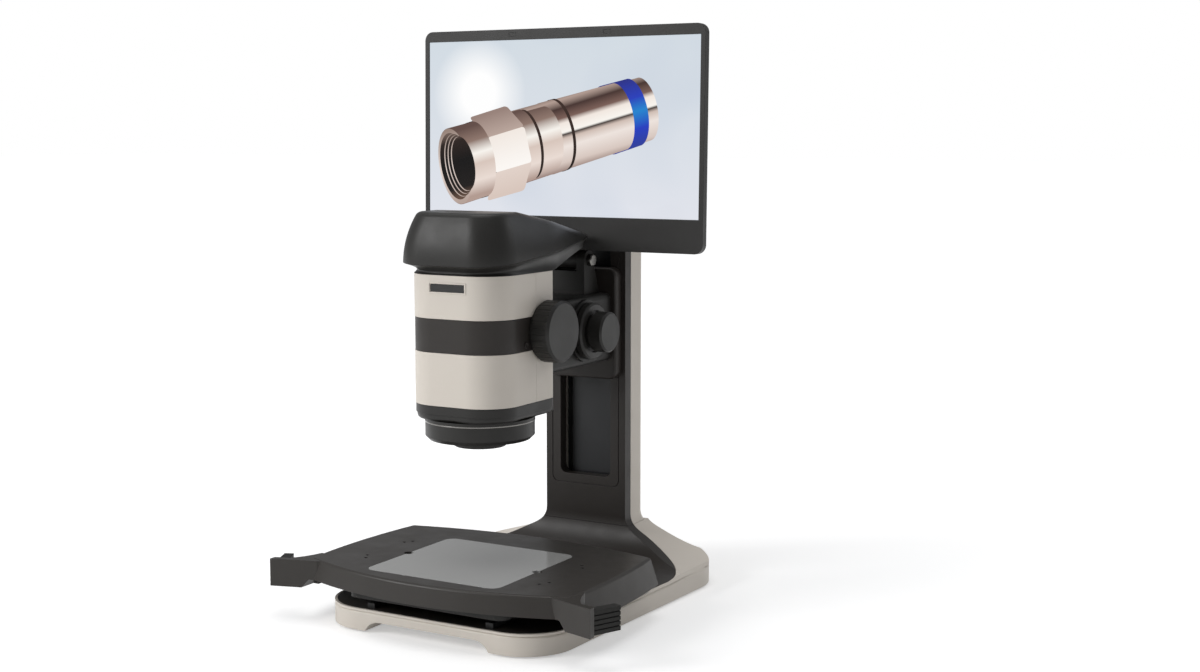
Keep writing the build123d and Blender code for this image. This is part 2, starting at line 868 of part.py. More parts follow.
# Rear cover of the head, where the arm is fixed
with BuildPart() as head_back_cover:
    with BuildSketch(level(head_bottom + 2)):
        with Locations((0, head_back + 3)):
            Rectangle(2 * head_half_width - 8, 6)
    extrude(amount=head_top - head_bottom - 2)
    fillet(head_back_cover.edges().filter_by(Axis.Z).group_by(Axis.Y)[-1], 3)
write(head_back_cover, "head_back_cover")



def hood_outline(half_width, front, corner, tail_half_width):
    """Plan of the hood: round at the front corners, narrowing behind the head to a blunt tail."""
    with BuildSketch() as outline:
        with BuildLine():
            Polyline(
                (-half_width, front),
                (half_width, front),
                (half_width, head_back),
                (tail_half_width, hood_tail_y),
                (-tail_half_width, hood_tail_y),
                (-half_width, head_back),
                close=True,
            )
        make_face()
        fillet(outline.vertices().group_by(Axis.Y)[0], corner)
        fillet(outline.vertices().group_by(Axis.Y)[-1], hood_tail_corner)
        fillet(outline.vertices().group_by(Axis.Y)[-3], hood_side_turn)
    return outline.sketch


def inset_hood_outline(inset):
    """Plan of the hood, pulled in all round except at its tail face."""
    return hood_outline(
        hood_half_width - inset,
        hood_front + inset,
        hood_corner - inset / 2,
        hood_tail_half_width - inset,
    )


hood_rim_rise = hood_rim_back_height - hood_rim_front_height
hood_rim_slope = hood_rim_rise / (hood_tail_y - hood_front)


def rim_height(y):
    """Height of the sloping rim of the hood at a depth behind the lens axis."""
    return hood_rim_front_height + (y - hood_front) * hood_rim_slope


def below_rim(drop):
    """Plane that slopes with the rim of the hood, a drop below it."""
    return Plane(
        origin=(0, lens_axis_y, rim_height(0) - drop),
        x_dir=(1, 0, 0),
        z_dir=(0, -hood_rim_slope, 1),
    )


# Hood: sides that bow inwards over a sloping rim, the top sloping down to the tail
hood_rim_plan = inset_hood_outline(0)
hood_bulge_plan = inset_hood_outline(hood_bulge_inset)
hood_top_plan = inset_hood_outline(hood_top_inset)
with BuildPart() as hood:
    with BuildSketch(level(hood_rim_front_height)):
        add(hood_rim_plan)
    with BuildSketch(level(hood_bulge_height)):
        add(hood_bulge_plan)
    with BuildSketch(level(hood_top)):
        add(hood_top_plan)
    loft()
    with BuildSketch(side(-hood_half_width)):
        with BuildLine():
            Polyline(
                (hood_front, hood_rim_front_height),
                (hood_front, hood_top),
                (hood_slope_start, hood_top),
                (hood_tail_y, hood_tail_top),
                (hood_tail_y, hood_rim_back_height),
                close=True,
            )
        make_face()
    extrude(amount=2 * hood_half_width, mode=Mode.INTERSECT)
    top_faces = hood.faces().filter_by(lambda face: face.normal_at().Z > 0.8)
    tail_corner_start = lens_axis_y + hood_tail_y - hood_tail_corner
    front_end = lens_axis_y + hood_front
    top_edges = top_faces.edges().filter_by_position(Axis.Y, front_end, tail_corner_start)
    fillet(list(set(top_edges)), hood_edge_radius)
write(hood, "hood")

# Flange: follows the rim of the hood and runs down into the head in a cove
tail_narrowing = hood_half_width - hood_tail_half_width
flange_foot_plan = hood_outline(
    head_half_width, head_front, head_corner, head_half_width - tail_narrowing
)
flange_waist_plan = hood_outline(
    head_half_width + flange_cove_start,
    head_front - flange_cove_start,
    head_corner,
    head_half_width + flange_cove_start - tail_narrowing,
)
flange_rim_plan = inset_hood_outline(0.5)
with BuildPart() as hood_flange:
    with BuildSketch(level(head_top)):
        add(flange_foot_plan)
    with BuildSketch(below_rim(flange_lip)):
        add(flange_waist_plan)
    with BuildSketch(below_rim(seam)):
        add(flange_rim_plan)
    loft()
    with BuildSketch(side(-hood_half_width)):
        with BuildLine():
            Polyline(
                (hood_front, head_top),
                (head_back, head_top),
                (hood_tail_y, hood_tail_bottom),
                (hood_tail_y, hood_top),
                (hood_front, hood_top),
                close=True,
            )
        make_face()
    extrude(amount=2 * hood_half_width, mode=Mode.INTERSECT)
write(hood_flange, "hood_flange")

# Objective under the head
with BuildPart() as collar:
    with BuildSketch(level(collar_bottom)):
        Circle(collar_radius)
        Circle(barrel_radius + running_gap, mode=Mode.SUBTRACT)
    extrude(amount=head_bottom - collar_bottom)
write(collar, "objective_collar")

silver_bottom = collar_bottom - silver_ring_thickness
with BuildPart() as silver_ring:
    with BuildSketch(level(silver_bottom)):
        Circle(collar_radius)
        Circle(barrel_radius + running_gap, mode=Mode.SUBTRACT)
    extrude(amount=silver_ring_thickness)
write(silver_ring, "silver_ring")

with BuildPart() as objective:
    with BuildSketch(level(objective_bottom)):
        Circle(objective_radius)
    extrude(amount=silver_bottom - objective_bottom)
    chamfer(objective.edges().group_by(Axis.Z)[0], objective_chamfer)
    with BuildSketch(level(objective_bottom)):
        Circle(light_ring_outer + seam)
        Circle(light_ring_inner - seam, mode=Mode.SUBTRACT)
    extrude(amount=3, mode=Mode.SUBTRACT)
    with BuildSketch(level(nose_bottom)):
        Circle(nose_radius)
    extrude(amount=objective_bottom - nose_bottom)
    chamfer(objective.edges().group_by(Axis.Z)[0], 1)
    with BuildSketch(level(nose_bottom)):
        Circle(front_lens_radius + seam)
    extrude(amount=4, mode=Mode.SUBTRACT)
write(objective, "objective")

with BuildPart() as ring_light:
    with BuildSketch(level(objective_bottom + 0.5)):
        Circle(light_ring_outer)
        Circle(light_ring_inner, mode=Mode.SUBTRACT)
    extrude(amount=2.5)
write(ring_light, "ring_light")

with BuildPart() as front_lens:
    with BuildSketch(level(nose_bottom + 1)):
        Circle(front_lens_radius)
    extrude(amount=3)
write(front_lens, "front_lens")

# Zoom knobs on one shaft through the head
with BuildPart() as zoom_shaft:
    with BuildSketch(side(-zoom_knob_outer + 10)):
        with Locations((zoom_axis_y, zoom_axis_z)):
            Circle(zoom_shaft_radius)
    extrude(amount=2 * (zoom_knob_outer - 10))
write(zoom_shaft, "zoom_shaft")

flute_circle_radius = zoom_knob_radius + zoom_flute_radius - zoom_flute_depth
for hand, name in ((-1, "left_zoom_knob"), (1, "right_zoom_knob")):
    with BuildPart() as zoom_knob:
        knob_inner = head_half_width + running_gap
        with BuildSketch(side(hand * knob_inner)):
            with Locations((zoom_axis_y, zoom_axis_z)):
                Circle(zoom_boss_radius)
        extrude(amount=hand * zoom_boss_length)
        with BuildSketch(side(hand * (knob_inner + zoom_boss_length))):
            with Locations((zoom_axis_y, zoom_axis_z)):
                Circle(zoom_knob_radius)
        extrude(amount=hand * (zoom_knob_outer - knob_inner - zoom_boss_length))
        rim = zoom_knob.edges().filter_by(GeomType.CIRCLE).sort_by(Axis.X)
        chamfer(rim[-1] if hand > 0 else rim[0], zoom_knob_chamfer)
        with BuildSketch(side(hand * (knob_inner + zoom_boss_length))):
            with Locations((zoom_axis_y, zoom_axis_z)):
                with PolarLocations(flute_circle_radius, zoom_flute_count):
                    Circle(zoom_flute_radius)
        extrude(amount=hand * (zoom_knob_outer - knob_inner - zoom_boss_length), mode=Mode.SUBTRACT)
        with BuildSketch(side(0)):
            with Locations((zoom_axis_y, zoom_axis_z)):
                Circle(zoom_shaft_radius)
        extrude(amount=hand * (zoom_knob_outer - 10), mode=Mode.SUBTRACT)
    write(zoom_knob, name)

# Arm from the head back to the focus slide, with the boss of the focus knobs
with BuildPart() as head_arm:
    with BuildSketch(level(arm_bottom)):
        with Locations((0, (head_back + 6 + housing_front) / 2)):
            Rectangle(2 * arm_half_width, housing_front - head_back - 6)
    extrude(amount=arm_top - arm_bottom)
    fillet(head_arm.edges().filter_by(Axis.Y), arm_edge_radius)
    with BuildSketch(side(-focus_boss_reach)):
        with Locations((focus_axis_y, focus_axis_z)):
            Circle(focus_boss_radius)
    extrude(amount=2 * focus_boss_reach)
    with BuildSketch(side(-focus_boss_reach)):
        with Locations((focus_axis_y, focus_axis_z)):
            Circle(coarse_shaft_radius + shaft_clearance)
    extrude(amount=2 * focus_boss_reach, mode=Mode.SUBTRACT)
write(head_arm, "head_arm")

with BuildPart() as focus_housing:
    with BuildSketch(facing(column_front - 0.5)):
        with Locations((0, (housing_bottom + housing_top) / 2)):
            RectangleRounded(
                2 * housing_half_width, housing_top - housing_bottom, housing_corner
            )
    extrude(amount=column_front - 0.5 - housing_front)
    fillet(focus_housing.edges().group_by(Axis.Y)[0], housing_edge_radius)
write(focus_housing, "focus_housing")

# Slider that hooks round the focus rail inside the window
slider_half_width = recess_half_width - running_gap
with BuildPart() as focus_slider:
    with BuildSketch(level(housing_bottom + 8)):
        with Locations((0, (column_front - 0.5 + rail_front + 8) / 2)):
            Rectangle(2 * slider_half_width, rail_front + 8 - column_front + 0.5)
        with Locations((0, (rail_front - running_gap + rail_front + 8) / 2)):
            Rectangle(2 * (rail_half_width + running_gap), 8 + running_gap, mode=Mode.SUBTRACT)
    extrude(amount=housing_top - housing_bottom - 16)
write(focus_slider, "focus_slider")

# Coarse focus: both knobs on one hollow shaft
with BuildPart() as coarse_shaft:
    with BuildSketch(side(-coarse_knob_inner)):
        with Locations((focus_axis_y, focus_axis_z)):
            Circle(coarse_shaft_radius)
            Circle(fine_shaft_radius + shaft_clearance, mode=Mode.SUBTRACT)
    extrude(amount=2 * coarse_knob_inner)
write(coarse_shaft, "coarse_shaft")

with BuildPart() as fine_shaft:
    with BuildSketch(side(-fine_knob_inner)):
        with Locations((focus_axis_y, focus_axis_z)):
            Circle(fine_shaft_radius)
    extrude(amount=2 * fine_knob_inner)
write(fine_shaft, "fine_shaft")

for hand, side_name in ((-1, "left"), (1, "right")):
    with BuildPart() as coarse_knob:
        with BuildSketch(side(hand * coarse_knob_inner)):
            with Locations((focus_axis_y, focus_axis_z)):
                Circle(coarse_knob_radius)
        extrude(amount=hand * (coarse_knob_outer - coarse_knob_inner))
        rims = coarse_knob.edges().filter_by(GeomType.CIRCLE).sort_by(Axis.X)
        chamfer(rims[-1] if hand > 0 else rims[0], 2)
        with BuildSketch(side(hand * coarse_knob_outer)):
            with Locations((focus_axis_y, focus_axis_z)):
                Circle(coarse_neck_radius)
        extrude(amount=-hand * 3, mode=Mode.SUBTRACT)
        with BuildSketch(side(hand * coarse_knob_inner)):
            with Locations((focus_axis_y, focus_axis_z)):
                Circle(fine_shaft_radius + shaft_clearance)
        extrude(amount=hand * (coarse_knob_outer - coarse_knob_inner), mode=Mode.SUBTRACT)
    write(coarse_knob, f"{side_name}_coarse_knob")

    with BuildPart() as fine_knob:
        with BuildSketch(side(hand * (coarse_knob_outer - 3 + running_gap))):
            with Locations((focus_axis_y, focus_axis_z)):
                Circle(fine_knob_radius - 4)
        extrude(amount=hand * (fine_knob_inner - coarse_knob_outer + 3 - running_gap))
        with BuildSketch(side(hand * fine_knob_inner)):
            with Locations((focus_axis_y, focus_axis_z)):
                Circle(fine_knob_radius)
        extrude(amount=hand * (fine_knob_outer - fine_knob_inner))
        rims = fine_knob.edges().filter_by(GeomType.CIRCLE).sort_by(Axis.X)
        chamfer(rims[-1] if hand > 0 else rims[0], 2)
        with BuildSketch(side(0)):
            with Locations((focus_axis_y, focus_axis_z)):
                Circle(fine_shaft_radius)
        extrude(amount=hand * fine_knob_inner, mode=Mode.SUBTRACT)
    write(fine_knob, f"{side_name}_fine_knob")


# Hinge of the screen: forked bracket on the arm, with a polished pin
with BuildPart() as tilt_bracket:
    with BuildSketch(side(-hinge_ear_outer)):
        with BuildLine():
            Polyline(
                (hinge_y - hinge_ear_radius, hinge_z),
                (hinge_y - hinge_ear_radius, arm_top),
                (housing_front - seam, arm_top),
                (hinge_y + hinge_ear_radius, hinge_z - 8),
                (hinge_y + hinge_ear_radius, hinge_z),
                close=True,
            )
        make_face()
        with Locations((hinge_y, hinge_z)):
            Circle(hinge_ear_radius)
    extrude(amount=2 * hinge_ear_outer)
    with BuildSketch(side(-hinge_ear_inner)):
        with Locations((hinge_y, hinge_z)):
            Rectangle(2 * hinge_ear_radius + 10, 2 * hinge_ear_radius + 2)
    extrude(amount=2 * hinge_ear_inner, mode=Mode.SUBTRACT)
    with BuildSketch(side(-hinge_ear_outer)):
        with Locations((hinge_y, hinge_z)):
            Circle(hinge_pin_radius)
    extrude(amount=2 * hinge_ear_outer, mode=Mode.SUBTRACT)
write(tilt_bracket, "tilt_bracket")

with BuildPart() as hinge_pin:
    with BuildSketch(side(-hinge_pin_reach)):
        with Locations((hinge_y, hinge_z)):
            Circle(hinge_pin_radius)
    extrude(amount=2 * hinge_pin_reach)
    chamfer(hinge_pin.edges().filter_by(GeomType.CIRCLE), 1.2)
write(hinge_pin, "hinge_pin")

# Plane of the screen front, leaning back a little, with its origin at the middle
lean = radians(screen_lean)
screen_plane = Plane(
    origin=(
        0,
        lens_axis_y + screen_front + sin(lean) * screen_height / 2,
        screen_bottom + cos(lean) * screen_height / 2,
    ),
    x_dir=(1, 0, 0),
    z_dir=(0, -cos(lean), sin(lean)),
)
panel_shift = panel_above_bottom + panel_height / 2 - screen_height / 2

with BuildPart() as screen_bezel:
    with BuildSketch(screen_plane):
        RectangleRounded(screen_width, screen_height, screen_corner)
        with Locations((0, panel_shift)):
            Rectangle(panel_width, panel_height, mode=Mode.SUBTRACT)
    extrude(amount=-bezel_depth)
    with BuildSketch(screen_plane):
        with Locations(
            (-tracking_eye_x, screen_height / 2 - bezel_top / 2), (tracking_eye_x, screen_height / 2 - bezel_top / 2)
        ):
            Rectangle(4 * tracking_eye_half, 2 * tracking_eye_half)
    extrude(amount=-3, mode=Mode.SUBTRACT)
write(screen_bezel, "screen_bezel")

with BuildPart() as screen_panel:
    with BuildSketch(screen_plane.offset(-bezel_depth)):
        with Locations((0, panel_shift)):
            Rectangle(panel_width - 2 * seam, panel_height - 2 * seam)
    extrude(amount=bezel_depth - bezel_lip)
write(screen_panel, "screen_panel")

with BuildPart() as tracking_eyes:
    with BuildSketch(screen_plane.offset(-3)):
        with Locations(
            (-tracking_eye_x, screen_height / 2 - bezel_top / 2), (tracking_eye_x, screen_height / 2 - bezel_top / 2)
        ):
            Rectangle(4 * tracking_eye_half - 0.2, 2 * tracking_eye_half - 0.2)
    extrude(amount=2.8)
write(tracking_eyes, "tracking_eyes")

with BuildPart() as screen_back:
    with BuildSketch(screen_plane.offset(-bezel_depth)):
        RectangleRounded(screen_width, screen_height, screen_corner)
    extrude(amount=bezel_depth - screen_edge_depth)
    fillet(screen_back.edges().group_by(Axis.Y)[-1], 3)
    with BuildSketch(screen_plane.offset(-screen_edge_depth)):
        RectangleRounded(screen_bulge_width, screen_bulge_height, 20)
    extrude(amount=screen_edge_depth - screen_back_depth, taper=25)
write(screen_back, "screen_back")

# Tilt plate: knuckle between the ears, rising behind the screen
with BuildPart() as tilt_plate:
    with BuildSketch(side(-hinge_ear_inner + running_gap)):
        with Locations((hinge_y, hinge_z)):
            Circle(hinge_ear_radius)
        with BuildLine():
            Polyline(
                (hinge_y - 2, hinge_z),
                (hinge_y - 2, hinge_z + 14),
                (hinge_y + hinge_ear_radius, hinge_z + 14),
                (hinge_y + hinge_ear_radius, hinge_z),
                close=True,
            )
        make_face()
    extrude(amount=2 * (hinge_ear_inner - running_gap))
    with BuildSketch(side(-hinge_ear_inner)):
        with Locations((hinge_y, hinge_z)):
            Circle(hinge_pin_radius + shaft_clearance)
    extrude(amount=2 * hinge_ear_inner, mode=Mode.SUBTRACT)
    with BuildSketch(screen_plane.offset(-screen_back_depth)):
        plate_bottom = hinge_z + 13 - screen_bottom - screen_height / 2
        plate_top = tilt_plate_top - screen_bottom - screen_height / 2
        with Locations((0, (plate_bottom + plate_top) / 2)):
            Rectangle(2 * tilt_plate_half_width, plate_top - plate_bottom)
    extrude(amount=-tilt_plate_thickness)
write(tilt_plate, "tilt_plate")
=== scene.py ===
import math

import bmesh
import bpy
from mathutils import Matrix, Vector


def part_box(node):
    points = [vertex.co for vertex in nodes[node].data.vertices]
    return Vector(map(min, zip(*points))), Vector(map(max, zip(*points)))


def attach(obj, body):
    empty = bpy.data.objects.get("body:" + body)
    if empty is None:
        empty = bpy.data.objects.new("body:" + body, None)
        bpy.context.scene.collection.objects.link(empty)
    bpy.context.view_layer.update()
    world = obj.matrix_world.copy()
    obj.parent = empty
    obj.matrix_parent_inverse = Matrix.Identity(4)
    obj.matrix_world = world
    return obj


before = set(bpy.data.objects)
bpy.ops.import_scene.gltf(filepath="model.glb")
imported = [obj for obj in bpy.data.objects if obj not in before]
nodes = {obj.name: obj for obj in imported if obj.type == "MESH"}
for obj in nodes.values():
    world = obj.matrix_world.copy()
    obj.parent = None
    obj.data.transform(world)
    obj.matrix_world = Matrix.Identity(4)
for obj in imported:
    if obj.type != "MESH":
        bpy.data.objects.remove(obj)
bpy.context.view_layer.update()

# The camera looks from the right front, a little above the stage
CAMERA_PLACE = (0.9606, -1.5256, 0.5047)
CAMERA_TURN = 29.58
CAMERA_DIP = 6.81
CAMERA_LENS = 50.77

# Own light of the floor by the object and far off; the weaker light by the object is painted shade
# round it. Light of the surroundings, lamps in watts
FLOOR_LIFT_NEAR = 0.40
FLOOR_LIFT_FAR = 0.76
AMBIENT = 0.34
KEY_POWER = 50
TOP_POWER = 24
BACK_POWER = 5

# The screen leans back, and its picture is drawn in thin layers before the panel, metres
SCREEN_LEAN = math.radians(1)
PANEL_LAYER = 0.00006

# Radius to which shading rounds the edges, metres
EDGE_RADIUS = 0.0006


def tint(red, green, blue):
    """Linear colour from the values that a screen shows, 0 to 255."""
    shares = (red / 255, green / 255, blue / 255)
    return tuple(((c + 0.055) / 1.055) ** 2.4 if c > 0.0405 else c / 12.92 for c in shares)


# Colours of the parts
CREAM = tint(222, 214, 203)
CHARCOAL = tint(46, 42, 39)
HOOD_CHARCOAL = tint(38, 37, 35)
STAGE_GREY = tint(56, 53, 50)
ARM_BLACK = tint(32, 31, 29)
KNOB_BLACK = tint(38, 37, 35)
RUBBER_BLACK = tint(34, 33, 31)
RAIL_GREY = tint(34, 35, 37)
GUIDE_GREY = tint(42, 42, 42)
BARE_METAL = tint(170, 170, 172)
BRIGHT_METAL = tint(118, 116, 113)


def new_material(name):
    """An empty node material and its tools: (material, nodes, links, surface shader)."""
    material = bpy.data.materials.new(name)
    material.use_nodes = True
    tree = material.node_tree
    shader = tree.nodes["Principled BSDF"]
    return material, tree.nodes, tree.links, shader


def noise(tree_nodes, links, coordinates, scale, detail):
    """Noise over the surface, in object coordinates."""
    texture = tree_nodes.new("ShaderNodeTexNoise")
    texture.inputs["Scale"].default_value = scale
    texture.inputs["Detail"].default_value = detail
    links.new(coordinates.outputs["Object"], texture.inputs["Vector"])
    return texture


def map_range(tree_nodes, links, value, low, high, start=0.3, end=0.7):
    """A value between start and end, spread between low and high."""
    spread = tree_nodes.new("ShaderNodeMapRange")
    spread.inputs["From Min"].default_value = start
    spread.inputs["From Max"].default_value = end
    spread.inputs["To Min"].default_value = low
    spread.inputs["To Max"].default_value = high
    links.new(value, spread.inputs["Value"])
    return spread.outputs["Result"]


def colour_mix(tree_nodes, links, amount, first, second):
    """Mix of two colours; each is a colour or a socket."""
    mix = tree_nodes.new("ShaderNodeMixRGB")
    for place, colour in (("Color1", first), ("Color2", second)):
        if isinstance(colour, tuple):
            mix.inputs[place].default_value = colour + (1,)
        else:
            links.new(colour, mix.inputs[place])
    links.new(amount, mix.inputs["Fac"])
    return mix.outputs["Color"]


def moulded(
    name, colour, rough, grain=1500.0, bump=0.12, metal=0.0, vary=0.05, wear=0.3, shine=0.5
):
    """Moulded or coated surface: fine grain, slow colour and gloss changes, worn soft edges."""
    material, tree_nodes, links, shader = new_material(name)
    coordinates = tree_nodes.new("ShaderNodeTexCoord")
    slow = noise(tree_nodes, links, coordinates, 7.0, 3.0)
    fine = noise(tree_nodes, links, coordinates, grain, 2.0)
    smudge = noise(tree_nodes, links, coordinates, 38.0, 4.0)
    darker = tuple(c * (1 - vary) for c in colour)
    lighter = tuple(min(1, c * (1 + vary)) for c in colour)
    body_colour = colour_mix(tree_nodes, links, slow.outputs["Fac"], darker, lighter)

    # Edges are told from faces by how far a rounded normal leans off the true one
    rounded = tree_nodes.new("ShaderNodeBevel")
    rounded.samples = 4
    rounded.inputs["Radius"].default_value = EDGE_RADIUS
    geometry = tree_nodes.new("ShaderNodeNewGeometry")
    lean = tree_nodes.new("ShaderNodeVectorMath")
    lean.operation = "DOT_PRODUCT"
    links.new(rounded.outputs["Normal"], lean.inputs[0])
    links.new(geometry.outputs["Normal"], lean.inputs[1])
    rubbed = map_range(tree_nodes, links, lean.outputs["Value"], 0.0, wear, 0.97, 0.80)
    worn_colour = tuple(min(1, c * 1.35 + 0.008) for c in colour)
    edge_colour = colour_mix(tree_nodes, links, rubbed, body_colour, worn_colour)
    links.new(edge_colour, shader.inputs["Base Color"])

    gloss = map_range(tree_nodes, links, smudge.outputs["Fac"], rough - 0.04, rough + 0.05)
    links.new(gloss, shader.inputs["Roughness"])
    relief = tree_nodes.new("ShaderNodeBump")
    relief.inputs["Strength"].default_value = bump
    relief.inputs["Distance"].default_value = 0.0002
    links.new(fine.outputs["Fac"], relief.inputs["Height"])
    links.new(rounded.outputs["Normal"], relief.inputs["Normal"])
    links.new(relief.outputs["Normal"], shader.inputs["Normal"])
    shader.inputs["Metallic"].default_value = metal
    shader.inputs["Specular IOR Level"].default_value = shine
    return material


def lit(name, colour_socket_maker, gloss=0.12):
    """Lit part of the display: it gives its own light under a glossy cover."""
    material, tree_nodes, links, shader = new_material(name)
    shader.inputs["Base Color"].default_value = (0.004, 0.004, 0.004, 1)
    shader.inputs["Roughness"].default_value = gloss
    shader.inputs["Specular IOR Level"].default_value = 0.25
    shader.inputs["Emission Strength"].default_value = 1.0
    links.new(colour_socket_maker(tree_nodes, links), shader.inputs["Emission Color"])
    return material


def dress(material, *names):
    """Give a material to every slot of these CAD nodes."""
    for name in names:
        for place in nodes[name].material_slots:
            place.material = material


cream = moulded("cream_moulding", CREAM, 0.45, vary=0.02)
charcoal = moulded("charcoal_moulding", CHARCOAL, 0.44, shine=0.32)
hood_finish = moulded("hood_moulding", HOOD_CHARCOAL, 0.40, shine=0.32)
stage_coat = moulded("stage_coat", STAGE_GREY, 0.38, bump=0.10, shine=0.32)
arm_coat = moulded("arm_coat", ARM_BLACK, 0.48, bump=0.15, shine=0.32)
knob_black = moulded("knob_black", KNOB_BLACK, 0.42, bump=0.10, shine=0.32)
rubber = moulded("rubber", RUBBER_BLACK, 0.62, grain=900.0, bump=0.3, shine=0.32)
rail_finish = moulded("rail_coat", RAIL_GREY, 0.36, shine=0.32)
guide_steel = moulded("guide_steel", GUIDE_GREY, 0.40, metal=0.6)
bare_metal = moulded("bare_metal", BARE_METAL, 0.32, metal=1.0)
bright_metal = moulded("bright_metal", BRIGHT_METAL, 0.22, bump=0.02, metal=1.0)
glass_plate = moulded("glass_plate", tint(158, 158, 156), 0.09, bump=0.0, vary=0.02, wear=0.1)
frosted = moulded("frosted_cover", tint(205, 205, 200), 0.5, vary=0.02)
window_black = moulded("window_black", tint(26, 26, 25), 0.14, bump=0.0)
bezel_finish = moulded("bezel_moulding", tint(44, 43, 42), 0.42, shine=0.32)

dress(cream, "base_shell", "column_shell", "head_shell_lower", "head_shell_upper")
dress(charcoal, "base_cover", "column_cover", "column_cap", "inlet_panel", "head_band")
dress(charcoal, "focus_housing")
dress(hood_finish, "hood", "hood_flange", "head_trim", "head_back_cover")
dress(hood_finish, "objective", "objective_collar")
dress(bezel_finish, "screen_bezel", "screen_back", "tracking_eyes")
dress(stage_coat, "stage_body")
dress(arm_coat, "head_arm", "tilt_bracket", "tilt_plate", "stage_carriage")
dress(
    knob_black,
    "power_inlet",
    "power_rocker",
    "left_zoom_knob",
    "right_zoom_knob",
    "left_coarse_knob",
    "right_coarse_knob",
    "left_fine_knob",
    "right_fine_knob",
)
dress(rubber, "rubber_feet", "left_grip", "right_grip")
dress(rail_finish, "focus_rail", "column_spine", "focus_slider")
dress(guide_steel, "depth_guides", "depth_blocks", "cross_guides", "cross_blocks", "stage_screws")
dress(
    bare_metal,
    "head_frame",
    "optics_barrel",
    "left_camera",
    "right_camera",
    "zoom_shaft",
    "coarse_shaft",
    "fine_shaft",
)
dress(bright_metal, "silver_ring", "hinge_pin")
dress(glass_plate, "stage_glass")
dress(frosted, "ring_light")
dress(window_black, "status_window", "front_lens")


def start_piece(name, add, **how):
    """Add a primitive with nothing else selected, and name it."""
    bpy.ops.object.select_all(action="DESELECT")
    add(**how)
    piece = bpy.context.object
    piece.name = name
    piece.data.name = name
    return piece


def finish_piece(piece, material, body, bevel=0.0):
    """Round the edges, put the place into the mesh, dress the piece and let it ride on a body."""
    bpy.ops.object.select_all(action="DESELECT")
    piece.select_set(True)
    bpy.context.view_layer.objects.active = piece
    bpy.ops.object.transform_apply(location=True, rotation=True, scale=True)
    if bevel:
        softening = piece.modifiers.new("edges", "BEVEL")
        softening.width = bevel
        softening.segments = 2
        softening.limit_method = "ANGLE"
        bpy.ops.object.modifier_apply(modifier=softening.name)
    bpy.ops.object.shade_smooth_by_angle(angle=math.radians(35))
    piece.data.materials.clear()
    piece.data.materials.append(material)
    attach(piece, body)
    return piece


def copy_piece(first, name, body, shift, turn=0.0):
    """Copy of a finished piece, moved or turned about the upright axis, with its own mesh."""
    bpy.ops.object.select_all(action="DESELECT")
    first.select_set(True)
    bpy.context.view_layer.objects.active = first
    bpy.ops.object.duplicate()
    piece = bpy.context.object
    piece.name = name
    piece.data.name = name
    piece.rotation_euler = (0, 0, turn)
    piece.location = shift
    bpy.ops.object.transform_apply(location=True, rotation=True, scale=True)
    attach(piece, body)


def pick_faces(piece, test):
    """In edit mode, select only the faces whose normal passes the test."""
    bpy.ops.mesh.select_all(action="DESELECT")
    bpy.ops.mesh.select_mode(type="FACE")
    mesh = bmesh.from_edit_mesh(piece.data)
    for face in mesh.faces:
        face.select_set(test(face.normal))
    bmesh.update_edit_mesh(piece.data)


def pick_corners(piece, test):
    """In edit mode, select only the corners whose place passes the test."""
    bpy.ops.mesh.select_all(action="DESELECT")
    bpy.ops.mesh.select_mode(type="VERT")
    mesh = bmesh.from_edit_mesh(piece.data)
    for corner in mesh.verts:
        corner.select_set(test(corner.co))
    bmesh.update_edit_mesh(piece.data)


def soft_bar(name, middle, size, material, body, bevel):
    """Straight bar with soft edges."""
    piece = start_piece(name, bpy.ops.mesh.primitive_cube_add, size=1, location=middle)
    piece.scale = size
    return finish_piece(piece, material, body, bevel)


def round_head(name, middle, turn, radius, depth, material, body, bevel, rim, sink):
    """Round latch or screw head; inside its rim the outer face (local +Z) is sunk."""
    piece = start_piece(
        name,
        bpy.ops.mesh.primitive_cylinder_add,
        vertices=40,
        radius=radius,
        depth=depth,
        location=(0, 0, 0),
    )
    bpy.ops.object.mode_set(mode="EDIT")
    pick_faces(piece, lambda normal: normal.z > 0.9)
    bpy.ops.mesh.inset(thickness=radius * rim, depth=0)
    bpy.ops.mesh.extrude_region_move(TRANSFORM_OT_translate={"value": (0, 0, -sink)})
    bpy.ops.object.mode_set(mode="OBJECT")
    piece.rotation_euler = turn
    piece.location = middle
    return finish_piece(piece, material, body, bevel)


# Turns that point a round head to the back and to the right, and the depth of the lens axis
BACK = (math.radians(-90), 0, 0)
RIGHT = (0, math.radians(90), 0)
LENS_Y = -0.08432


def frame_ring(name, middle, size, border, depth, material, body):
    """Flat raised border round an opening in a face that looks to the front."""
    piece = start_piece(name, bpy.ops.mesh.primitive_cube_add, size=1, location=middle)
    piece.scale = (size[0], depth, size[1])
    bpy.ops.object.transform_apply(location=False, rotation=False, scale=True)
    bpy.ops.object.mode_set(mode="EDIT")
    pick_faces(piece, lambda normal: abs(normal.y) > 0.9)
    bpy.ops.mesh.inset(thickness=border, depth=0)
    bpy.ops.mesh.bridge_edge_loops()
    bpy.ops.object.mode_set(mode="OBJECT")
    return finish_piece(piece, material, body, border * 0.2)


# Raised border round the status window
slot_low, slot_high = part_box("status_window")
slot_middle = [(a + b) / 2 for a, b in zip(slot_low, slot_high)]
head_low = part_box("head_shell_upper")[0]
frame_ring(
    "slot_border",
    (slot_middle[0], head_low[1] - 0.0001, slot_middle[2]),
    (0.0455, 0.0115),
    0.0016,
    0.0010,
    cream,
    "head",
)


